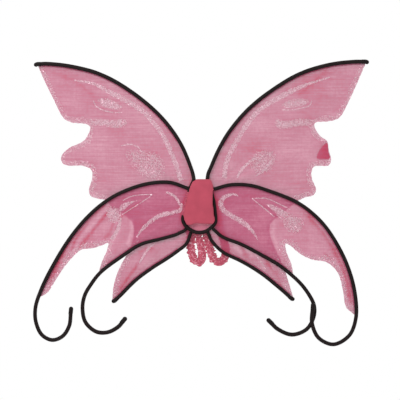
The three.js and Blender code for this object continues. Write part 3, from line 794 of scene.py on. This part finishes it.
def cloth_tone(points, side, layer, held):
    """How deep the cloth's colour is: pinched in the tucks, doubled at the seams, deeper near the pad's loop,
    and a painted shade where the strap lies behind the cloth.
    """
    tone = np.zeros(len(points))
    for line, width, depth in TUCKS[side, layer]:
        tone += depth * np.exp(-(distance_to(points, spline(line, 6.0)) / (width * 0.75)) ** 2)
    tone += 0.5 * np.exp(-(distance_to(points, held) / 6.0) ** 2)
    # Painted shade: a deeper band where the strap lies behind the cloth.
    strap = np.array([p for p in STRAPS[side] if abs(p[0]) > 25], float)
    tone += 0.75 * np.clip(1.25 - distance_to(points, spline(strap, 6.0)) / 11.0, 0, 1)
    tone += 0.5 * np.exp(-(distance_to(points, np.array(LOOP, float)) / 13.0) ** 2)
    return np.clip(tone, -0.9, 1.4)


def on_cloth(tree, points, lift):
    """(x, z) points laid on a sheet, lift in front of it."""
    placed = []
    for x, z in points:
        hit = tree.ray_cast(Vector((x, -60.0, z)), Vector((0, 1, 0)))[0]
        if hit is None:
            hit = tree.find_nearest(Vector((x, FRONT_Y, z)))[0]
        placed.append((x, hit.y - lift, z))
    return placed


def stroke_mesh(line, start, middle, end):
    """A painted stroke: (x, z) points, faces, and how well the flecks cover it."""
    path = spline(line, 1.6)
    normal = plane_normals(path)
    share = np.linspace(0, 1, len(path))
    width = np.interp(share, [0, 0.3, 0.75, 1], [start, middle, middle * 0.92, end])
    points, cover, faces = [], [], []
    for i, (q, n, w) in enumerate(zip(path, normal, width)):
        w *= 1.2 + 0.25 * noise.noise(Vector((i * 0.22, w, 3.0)))
        for k, (at, c) in enumerate(((-0.5, 0.45), (-0.25, 0.60), (0, 0.64), (0.25, 0.60), (0.5, 0.45))):
            points.append(q + n * w * at)
            cover.append(c)
            if i and k:
                a = i * 5 + k
                faces.append((a - 6, a - 5, a, a - 1))
    return points, faces, cover


def area_mesh(outline, cover, seed):
    """A field of flecks that thins out towards its outline."""
    ring = np.array(outline, float)
    smooth = closed_spline(outline, 4.0)
    points, faces = flat_fill([tuple(q) for q in smooth], 3.0, seed)
    depth = distance_to(points, np.vstack([ring, ring[:1]]))
    return list(points), faces, list(np.clip(cover + 0.10 - 0.25 * np.exp(-depth / 4.0), 0, 1))


def border_mesh(ring, edge, seed):
    """A band of flecks along a sheet's free edge, densest at the edge."""
    points, faces = flat_fill(ring, 3.0, seed)
    depth = distance_to(points, edge)
    waver = np.array([noise.noise(Vector((x * 0.03, z * 0.03, 5.0))) for x, z in points])
    width = BORDER_WIDTH * (1 + 0.55 * waver)
    cover = np.clip(0.50 - 0.17 * depth / width, 0, 1)
    keep, used = used_points([f for f in faces if min(depth[list(f)] / width[list(f)]) < 1.0])
    cover = np.where(depth > width, 0.0, cover)
    return [points[i] for i in keep], used, [cover[i] for i in keep]


def add_glitter(side, layer, tree, ring, edge):
    """All the printed glitter of one sheet, as one piece just in front of it."""
    vertices, faces, cover = [], [], []
    parts = [border_mesh(ring, edge, 8)]
    parts += [stroke_mesh(*stroke) for stroke in STROKES[side, layer]]
    parts += [area_mesh(outline, share, 6 + i) for i, (outline, share) in enumerate(AREAS[side, layer])]
    for number, (points, part_faces, part_cover) in enumerate(parts):
        base = len(vertices)
        vertices += on_cloth(tree, points, 0.22 + 0.05 * number)
        faces += [tuple(i + base for i in f) for f in part_faces]
        cover += part_cover
    uv = [(x * MM, z * MM) for x, _, z in vertices]
    piece = mesh_piece(f"{side}_{layer}_glitter", vertices, faces, GLITTER, uv=uv, cover=cover)
    bend_at_fold(piece)
    return piece, vertices, faces, cover


def add_flakes(side, layer, vertices, faces, cover, count, seed):
    """Single sequin flakes, each its own little hexagon, stuck on where the print is."""
    rng = random.Random(seed)
    corners, flakes = [], []
    while len(flakes) < count:
        face = rng.choice(faces)
        if rng.random() > 1.6 * sum(cover[i] for i in face) / len(face):
            continue
        share = [rng.random() for _ in face]
        total = sum(share)
        x, y, z = (sum(s * vertices[i][k] for s, i in zip(share, face)) / total for k in range(3))
        size = rng.uniform(0.45, 0.85)
        lean = (rng.uniform(-0.35, 0.35), rng.uniform(-0.35, 0.35))
        base = len(corners)
        for k in range(6):
            a = k * math.pi / 3
            u, v = size * math.cos(a), size * math.sin(a)
            corners.append((x + u, y - 0.45 + u * lean[0] + v * lean[1], z + v))
        flakes.append(tuple(base + k for k in range(6)))
    piece = mesh_piece(f"{side}_{layer}_flakes", corners, flakes, FLAKE)
    bend_at_fold(piece)
    return piece


HEM_START = 50.0  # the hems begin this far out from the middle
STITCH_ROW = 5.8  # the row of stitches is this far from the wire


def add_seams(side, layer):
    """The turned-in seam allowance along each wire that holds the sheet, with its running stitches."""
    vertices, faces, stitch_points, stitch_faces = [], [], [], []
    ring = np.array(sheet_outline(side, layer)[0])
    back = (FRONT_Y if layer == "front" else BACK_Y) + 0.45
    for which in HELD_BY[layer]:
        path = np.array(xz(wire_route(side, which, 3.0)))
        path = path[np.abs(path[:, 0]) > HEM_START]
        normal = plane_normals(path)
        middle = len(path) // 3
        if not inside((path[middle] + normal[middle] * 8)[None], ring)[0]:
            normal = -normal
        covered = inside(path + normal * 7.5, ring)
        base = len(vertices)
        for i, (q, n) in enumerate(zip(path, normal)):
            for at in (0.0, 3.5, 7.0 + 0.5 * noise.noise(Vector((i * 0.3, 1.0, 2.0)))):
                vertices.append((q[0] + n[0] * at, back + 0.03 * at, q[1] + n[1] * at))
            if i and covered[i] and covered[i - 1]:
                a = base + i * 3
                faces += [(a - 3, a - 2, a + 1, a), (a - 2, a - 1, a + 2, a + 1)]
            if covered[i] and i % 2 == 0 and i + 1 < len(path):
                ends = (q + n * STITCH_ROW, path[i + 1] + normal[i + 1] * STITCH_ROW)
                add_stitch(stitch_points, stitch_faces, ends, back + 0.25)
    kept, faces = used_points(faces)
    points = [vertices[i] for i in kept]
    uv = [(x * MM, z * MM) for x, _, z in points]
    hem = mesh_piece(f"{side}_{layer}_hem", points, faces, ORGANZA_BACK, uv=uv,
                     tone=np.full(len(points), 0.5))
    stitches = mesh_piece(f"{side}_{layer}_stitches", stitch_points, stitch_faces, THREAD)
    for piece in (hem, stitches):
        bend_at_fold(piece)
    return [hem, stitches]


def add_stitch(points, faces, ends, y, radius=0.32):
    """One short thread from end to end, as a six-sided bar that dips into the cloth at both ends."""
    (x0, z0), (x1, z1) = ends
    along = np.array((x1 - x0, z1 - z0))
    length = np.linalg.norm(along)
    along /= max(length, 1e-6)
    across = np.array((-along[1], along[0]))
    base = len(points)
    for share, bulge in ((0.1, 0.0), (0.35, 1.0), (0.65, 1.0), (0.9, 0.0)):
        for k in range(6):
            a = k * math.pi / 3
            at = np.array((x0, z0)) + along * length * share + across * radius * math.cos(a)
            points.append((at[0], y + bulge * radius * 0.8 + radius * 0.8 * math.sin(a), at[1]))
    for i in range(3):
        for k in range(6):
            n = (k + 1) % 6
            a = base + i * 6
            faces.append((a + k, a + n, a + 6 + n, a + 6 + k))
    faces += [tuple(base + k for k in range(5, -1, -1)), tuple(base + 18 + k for k in range(6))]


def add_flap(tree):
    """The corner of the right upper wing that is folded over to the front."""
    ring = [tuple(q) for q in closed_spline(FLAP, 3.0)]
    points, faces = flat_fill(ring, 3.0, 4)
    fold = np.clip((points[:, 0] - 281) / 30.0, 0, 1)
    placed = on_cloth(tree, points, 0.0)
    vertices = [(x, y - 1.0 - 1.6 * math.sin(math.pi * f), z) for (x, y, z), f in zip(placed, fold)]
    piece = mesh_piece("right_folded_corner", vertices, faces, ORGANZA_FRONT, uv=points * MM,
                       tone=np.full(len(points), 0.75))
    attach(piece, "right_wing")


def add_sheet(side, layer):
    """One sheet of organza with its print, flakes and seams."""
    ring, held, edge = sheet_outline(side, layer)
    points, faces = flat_fill(ring, CLOTH_STEP, 3)
    depth = cloth_depth(points, side, layer, held)
    vertices = np.column_stack([points[:, 0], depth, points[:, 1]])
    material = ORGANZA_FRONT if layer == "front" else ORGANZA_BACK
    tone = cloth_tone(points, side, layer, held)
    piece = mesh_piece(f"{side}_{layer}_cloth", vertices, faces, material, uv=points * MM, tone=tone)
    surface = BVHTree.FromPolygons([tuple(v) for v in vertices], faces)
    glitter, spots, spot_faces, cover = add_glitter(side, layer, surface, ring, edge)
    flakes = add_flakes(side, layer, spots, spot_faces, cover, FLAKE_COUNT[layer], len(side))
    if (side, layer) == ("right", "back"):
        add_flap(surface)
    bend_at_fold(piece)
    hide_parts(f"{side}_{layer}_sheet")
    if layer == "back":
        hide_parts("root_cloth")
    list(add_seams(side, layer))


def add_crescent():
    """The sheer crescent between the pad's lower edge and the loop."""
    ring = [tuple(q) for q in closed_spline(CRESCENT, 3.0)]
    points, faces = flat_fill(ring, 3.0, 5)
    depth = [-14.0 + 0.4 * noise.noise(Vector((x * 0.09, z * 0.09, 1.0))) for x, z in points]
    vertices = np.column_stack([points[:, 0], depth, points[:, 1]])
    piece = mesh_piece("crescent_cloth", vertices, faces, ORGANZA_DOUBLED_PAINTED_LIGHT, uv=points * MM,
                       tone=np.zeros(len(points)))
    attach(piece, "hub")


# ---------------------------------------------------------------- padding

def prism(ring, back, front, inset, name):
    """A closed solid between two depths, drawn in by an inset, as a starting shape for a pillow."""
    ring = np.array(ring)
    centre = ring.mean(0)
    size = np.linalg.norm(ring - centre, axis=1).mean()
    ring = centre + (ring - centre) * (1 - inset / size)
    n = len(ring)
    vertices = [(x, back, z) for x, z in ring] + [(x, front, z) for x, z in ring]
    faces = [tuple(range(n)), tuple(range(2 * n - 1, n - 1, -1)), *ring_faces(2, n)]
    return mesh_piece(name, vertices, faces, PAD_KNIT)


def puff(piece, voxel, cap, pressure):
    """Blows a closed piece up as stuffed cloth, with each point's travel capped, and applies the result."""
    bpy.context.view_layer.objects.active = piece
    piece.select_set(True)
    remesh = piece.modifiers.new("remesh", "REMESH")
    remesh.mode = "VOXEL"
    remesh.voxel_size = voxel * MM
    bpy.ops.object.modifier_apply(modifier="remesh")
    before = np.array([v.co for v in piece.data.vertices])
    cloth = piece.modifiers.new("cloth", "CLOTH")
    cloth.settings.use_pressure = True
    cloth.settings.uniform_pressure_force = pressure
    cloth.settings.mass = 0.15
    cloth.settings.tension_stiffness = 30
    cloth.settings.compression_stiffness = 8
    cloth.settings.effector_weights.gravity = 0
    for number in range(1, 21):
        bpy.context.scene.frame_set(number)
    made = piece.evaluated_get(bpy.context.evaluated_depsgraph_get())
    after = np.array([v.co for v in made.data.vertices])
    piece.modifiers.remove(cloth)
    bpy.context.scene.frame_set(1)
    travel = after - before
    length = np.linalg.norm(travel, axis=1)
    limit = np.minimum(1.0, cap * MM / np.maximum(length, 1e-9))
    for vertex, start, move in zip(piece.data.vertices, before, travel * limit[:, None]):
        vertex.co = start + move
    even = piece.modifiers.new("even", "SMOOTH")
    even.iterations = 8
    bpy.ops.object.modifier_apply(modifier="even")
    smooth = piece.modifiers.new("subdivision", "SUBSURF")
    smooth.levels = smooth.render_levels = 1
    bpy.ops.object.modifier_apply(modifier="subdivision")
    piece.select_set(False)
    piece.data.polygons.foreach_set("use_smooth", np.ones(len(piece.data.polygons), bool))


def fit_depth(piece, back, front):
    """Keeps a piece between two depths, flat at the back."""
    for v in piece.data.vertices:
        v.co.y = min(max(v.co.y, front * MM), back * MM)


def add_pad():
    ring = closed_spline(PAD_COVER, 3.0)
    piece = prism(ring, -25.0, -28.2, -1.3, "pad_cover")
    puff(piece, 2.4, 3.4, 1.5)
    for v in piece.data.vertices:
        x, z = v.co.x / MM, v.co.z / MM
        v.co.y += 0.25 * MM * noise.noise(Vector((x * 0.06, z * 0.06, 2.0)))
    fit_depth(piece, PAD_BACK, PAD_FRONT)
    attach(piece, "hub")
    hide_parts("pad_front_cover")


def add_cushion():
    outline = [*CUSHION_HALF, *[(-x, z) for x, z in CUSHION_HALF[-2:0:-1]]]
    ring = closed_spline(outline, 3.0)
    piece = prism(ring, -1.4, -6.4, 0.6, "wearer_cushion")
    puff(piece, 2.4, 2.4, 4.0)
    fit_depth(piece, 0.0, CUSHION_FRONT)
    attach(piece, "hub")
    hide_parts("back_cushion")
    add_piping("cushion_piping", ring, -4.3, 1.1)


def add_piping(name, ring, y, radius):
    """A corded seam round a ring of (x, z) points."""
    path = np.array(with_depth([*ring, ring[0]], y), float)
    vertices, faces, uv = tube(path, lambda i, a: radius * (1 + 0.08 * math.sin(i * 2.6)), 10)
    piece = mesh_piece(name, vertices, faces, GATHERED, uv=uv, crest=np.full(len(vertices), 0.5))
    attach(piece, "hub")


def add_board_cover():
    """Felt glued over the stiff board, with rounded edges and a row of stitches round it."""
    ring = closed_spline(PAD_COVER, 3.0)
    centre = ring.mean(0)
    n = len(ring)
    vertices = [(x, y, z) for share, y in BOARD_PROFILE for x, z in centre + (ring - centre) * share]
    faces = ring_faces(len(BOARD_PROFILE), n)
    faces += [tuple(range(n)), tuple(range(len(vertices) - 1, len(vertices) - n - 1, -1))]
    piece = mesh_piece("board_felt_cover", vertices, faces, FELT)
    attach(piece, "hub")
    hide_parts("backing_board")
    points, stitch_faces = [], []
    seam = centre + (ring - centre) * 0.92
    for k in range(n - 1):
        add_stitch(points, stitch_faces, (seam[k], seam[k] * 0.3 + seam[k + 1] * 0.7), -8.1)
    stitches = mesh_piece("board_stitches", points, stitch_faces, THREAD)
    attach(stitches, "hub")


# ---------------------------------------------------------------- straps

STRAP_WIDTH = 20.0
STRAP_FRONT, STRAP_BACK = -8.0, -0.2
CHANNEL = 0.52  # half width of the elastic's channel, as a share of the strap's half width


def add_strap(side):
    """A ruched casing: a gathered channel over the elastic, with a frill along both edges."""
    path = spline(with_depth(STRAPS[side], STRAP_Y), 0.8)
    tangent, across, _ = sweep_frames(path)
    run = np.arange(len(path)) * np.linalg.norm(path[1] - path[0])
    # Bend per millimetre, towards the positive side
    turning = (np.gradient(tangent, run, axis=0) * across).sum(axis=1)
    seed = 10.0 if side == "left" else 20.0
    across_count = 29
    columns = np.concatenate([np.linspace(-1, 1, across_count), np.linspace(1, -1, across_count)[1:-1]])
    rows, crest = [], []
    for i, q in enumerate(path):
        end = min(i, len(path) - 1 - i)
        open_up = min(1.0, end / 14.0)
        for k, u in enumerate(columns):
            face = -1 if k < across_count else 1
            rim = max(0.0, (abs(u) - CHANNEL) / (1 - CHANNEL))
            edge = math.copysign(1, u)
            frill = noise.noise(Vector((run[i] * 0.21, edge * 4.0 + seed, 1.0)))
            flutter = noise.noise(Vector((run[i] * 0.34, edge * 7.0 + seed, u)))
            pleat = noise.noise(Vector((run[i] * 0.45, u * 1.1 + seed, 5.0)))
            crease = noise.noise(Vector((run[i] * 0.85, u * 2.2 + seed, 9.0)))
            half = STRAP_WIDTH / 2 * (0.72 + 0.28 * open_up)
            out = u * half * (1 + 0.55 * rim * frill * open_up)
            room = 0.8 / max(turning[i] * edge, 1e-3)
            out = math.copysign(min(abs(out), room), u)
            thick = 2.5 * math.sqrt(max(0.0, 1 - (abs(u) / (CHANNEL + 0.06)) ** 2))
            thick = max(thick, 0.45 if abs(u) < 1 else 0.0)
            gather = 1.1 * pleat + 0.55 * crease
            plump = thick + gather * (1 - rim) * min(1.0, thick / 1.5)
            y = q[1] + face * plump + 4.4 * rim * flutter * open_up
            y = min(max(y, STRAP_FRONT), STRAP_BACK)
            shift = 1.1 * noise.noise(Vector((run[i] * 0.16, u * 1.4, seed)))
            rows.append(q + across[i] * out + tangent[i] * shift * open_up + (0, y - q[1], 0))
            # Painted light: pale glint streaks, lighter crests and frills as painted highlights, and darker
            # pleat hollows as painted shade.
            glint = noise.noise(Vector((run[i] * 0.12, u * 1.5 + seed, 13.0)))
            painted_glint_streak = 0.9 * max(0.0, 1 - 6 * abs(glint)) * (0.7 + crease)
            crest.append(0.36 + 0.6 * gather * (1 - rim) + 0.7 * rim * frill + painted_glint_streak)
    n = len(columns)
    faces = [(i * n + k, i * n + (k + 1) % n, (i + 1) * n + (k + 1) % n, (i + 1) * n + k)
             for i in range(len(path) - 1) for k in range(n)]
    faces += [tuple(range(n - 1, -1, -1)), tuple(range((len(path) - 1) * n, len(path) * n))]
    piece = mesh_piece(side + "_ruched_strap", rows, faces, STRAP_RUCHE, crest=np.clip(crest, 0, 1))
    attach(piece, side + "_strap")
    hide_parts(side + "_strap_casing")


def add_tab(side, end):
    """A folded webbing tab that holds a strap's end, closed with a box of stitches."""
    low, high = (Vector(c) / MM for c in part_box(f"{side}_{end}_strap_tab"))
    columns, rows = 13, 10
    vertices = []
    for layer in range(2):
        for j in range(rows):
            for i in range(columns):
                u, v = i / (columns - 1), j / (rows - 1)
                rib = 0.12 * math.sin(i * math.pi * 1.5)
                rim = 1 - max(abs(2 * u - 1) ** 6, abs(2 * v - 1) ** 6)
                middle, half = (low.y + high.y) / 2, (high.y - low.y) / 2 * (0.55 + 0.45 * rim)
                y = middle + (half + rib) * (1 if layer else -1)
                vertices.append((low.x + (high.x - low.x) * u, y, low.z + (high.z - low.z) * v))
    faces = []
    count = columns * rows
    for j in range(rows - 1):
        for i in range(columns - 1):
            a = j * columns + i
            quad = (a, a + 1, a + columns + 1, a + columns)
            faces += [quad, tuple(count + q for q in quad[::-1])]
    rim = ([*range(columns)] + [j * columns + columns - 1 for j in range(1, rows)]
           + [(rows - 1) * columns + i for i in range(columns - 2, -1, -1)]
           + [j * columns for j in range(rows - 2, 0, -1)])
    faces += [(a, a + count, b + count, b) for a, b in zip(rim, rim[1:] + rim[:1])]
    piece = mesh_piece(f"{side}_{end}_webbing_tab", vertices, faces, STRAP_RUCHE,
                       crest=[0.45 + 0.1 * (k % 2) for k in range(len(vertices))])
    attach(piece, "hub")
    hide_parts(f"{side}_{end}_strap_tab")
    points, stitch_faces = [], []
    x0, x1, z0, z1 = low.x + 2, high.x - 2, low.z + 1.8, high.z - 1.8
    a, b, c, d = (np.array(p) for p in ((x0, z0), (x1, z0), (x1, z1), (x0, z1)))
    for first, last in ((a, b), (b, c), (c, d), (d, a), (a, c), (b, d)):
        sew_line(points, stitch_faces, first, last, high.y)
    stitches = mesh_piece(f"{side}_{end}_tab_stitches", points, stitch_faces, THREAD)
    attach(stitches, "hub")


def sew_line(points, faces, a, b, y, pitch=2.0):
    count = max(2, int(round(np.linalg.norm(b - a) / pitch)))
    for i in range(count):
        add_stitch(points, faces, (a + (b - a) * i / count, a + (b - a) * (i + 0.75) / count), y, 0.28)


# ---------------------------------------------------------------- build

for number, which in enumerate(("upper", "outer", "inner", "tail")):
    for side in SIDES:
        add_sleeve(side, which, 2.0 * number + (side == "left"))
        add_cap(side, which)
add_hub_loop()
add_loop_wrap()
add_crescent()
for side in SIDES:
    for layer in ("back", "front"):
        add_sheet(side, layer)
    add_strap(side)
    for end in ("upper", "lower"):
        add_tab(side, end)
add_pad()
add_cushion()
add_board_cover()

NODE_MATERIALS = {"pad_foam": FOAM, "root_tape_upper": TAPE, "root_tape_lower": TAPE}
for side in SIDES:
    NODE_MATERIALS[side + "_outer_root"] = STEEL
    NODE_MATERIALS[side + "_strap_elastic"] = ELASTIC
for name, material in NODE_MATERIALS.items():
    slots = frame["nodes"][name].data.materials
    slots.clear()
    slots.append(material)

# ---------------------------------------------------------------- setting

scene = bpy.context.scene
scene.view_settings.view_transform = "Standard"


def add_world():
    """White to the camera, and a softer white fill on the object."""
    world = bpy.data.worlds.new("studio")
    scene.world = world
    world.use_nodes = True
    tree = world.node_tree
    fill = tree.nodes["Background"]
    fill.inputs["Color"].default_value = (1, 1, 1, 1)
    fill.inputs["Strength"].default_value = 0.63
    white = node(tree, "ShaderNodeBackground", {"Color": (1, 1, 1, 1), "Strength": 1.0})
    seen = node(tree, "ShaderNodeLightPath").outputs["Is Camera Ray"]
    both = node(tree, "ShaderNodeMixShader", {0: seen, 1: fill.outputs[0], 2: white.outputs[0]})
    output = next(n for n in tree.nodes if n.type == "OUTPUT_WORLD")
    tree.links.new(both.outputs[0], output.inputs["Surface"])


def add_light(name, place, size, power):
    light = bpy.data.objects.new(name, bpy.data.lights.new(name, "AREA"))
    light.data.shape = "SQUARE"
    light.data.size = size
    light.data.energy = power
    light.location = place
    light.rotation_euler = (-Vector(place)).to_track_quat("-Z", "Y").to_euler()
    scene.collection.objects.link(light)


def add_floor():
    mesh = bpy.data.meshes.new("floor")
    corners = [(FLOOR_RADIUS * math.cos(a), FLOOR_RADIUS * math.sin(a), 0)
               for a in np.linspace(0, 2 * math.pi, 96, endpoint=False)]
    mesh.from_pydata(corners, [], [tuple(range(96))])
    mesh.materials.append(floor_material())
    floor = bpy.data.objects.new("floor", mesh)
    floor.location = (0, 0, FLOOR_HEIGHT)
    scene.collection.objects.link(floor)


add_world()
add_light("key", (-1.1, -2.6, 1.5), 1.6, 35)
add_light("rim", (1.4, 2.2, 1.6), 1.4, 24)
add_floor()

CAMERA_DISTANCE = 4.0
FOCAL_LENGTH = 150.0
camera = bpy.data.objects.new("camera", bpy.data.cameras.new("camera"))
scene.collection.objects.link(camera)
camera.location = (0.0, -CAMERA_DISTANCE, 0.012)
camera.rotation_euler = (math.pi / 2, 0, 0)
camera.data.sensor_width = 36.0
camera.data.lens = FOCAL_LENGTH * (CAMERA_DISTANCE + WIRE_Y * MM) / CAMERA_DISTANCE
scene.camera = camera
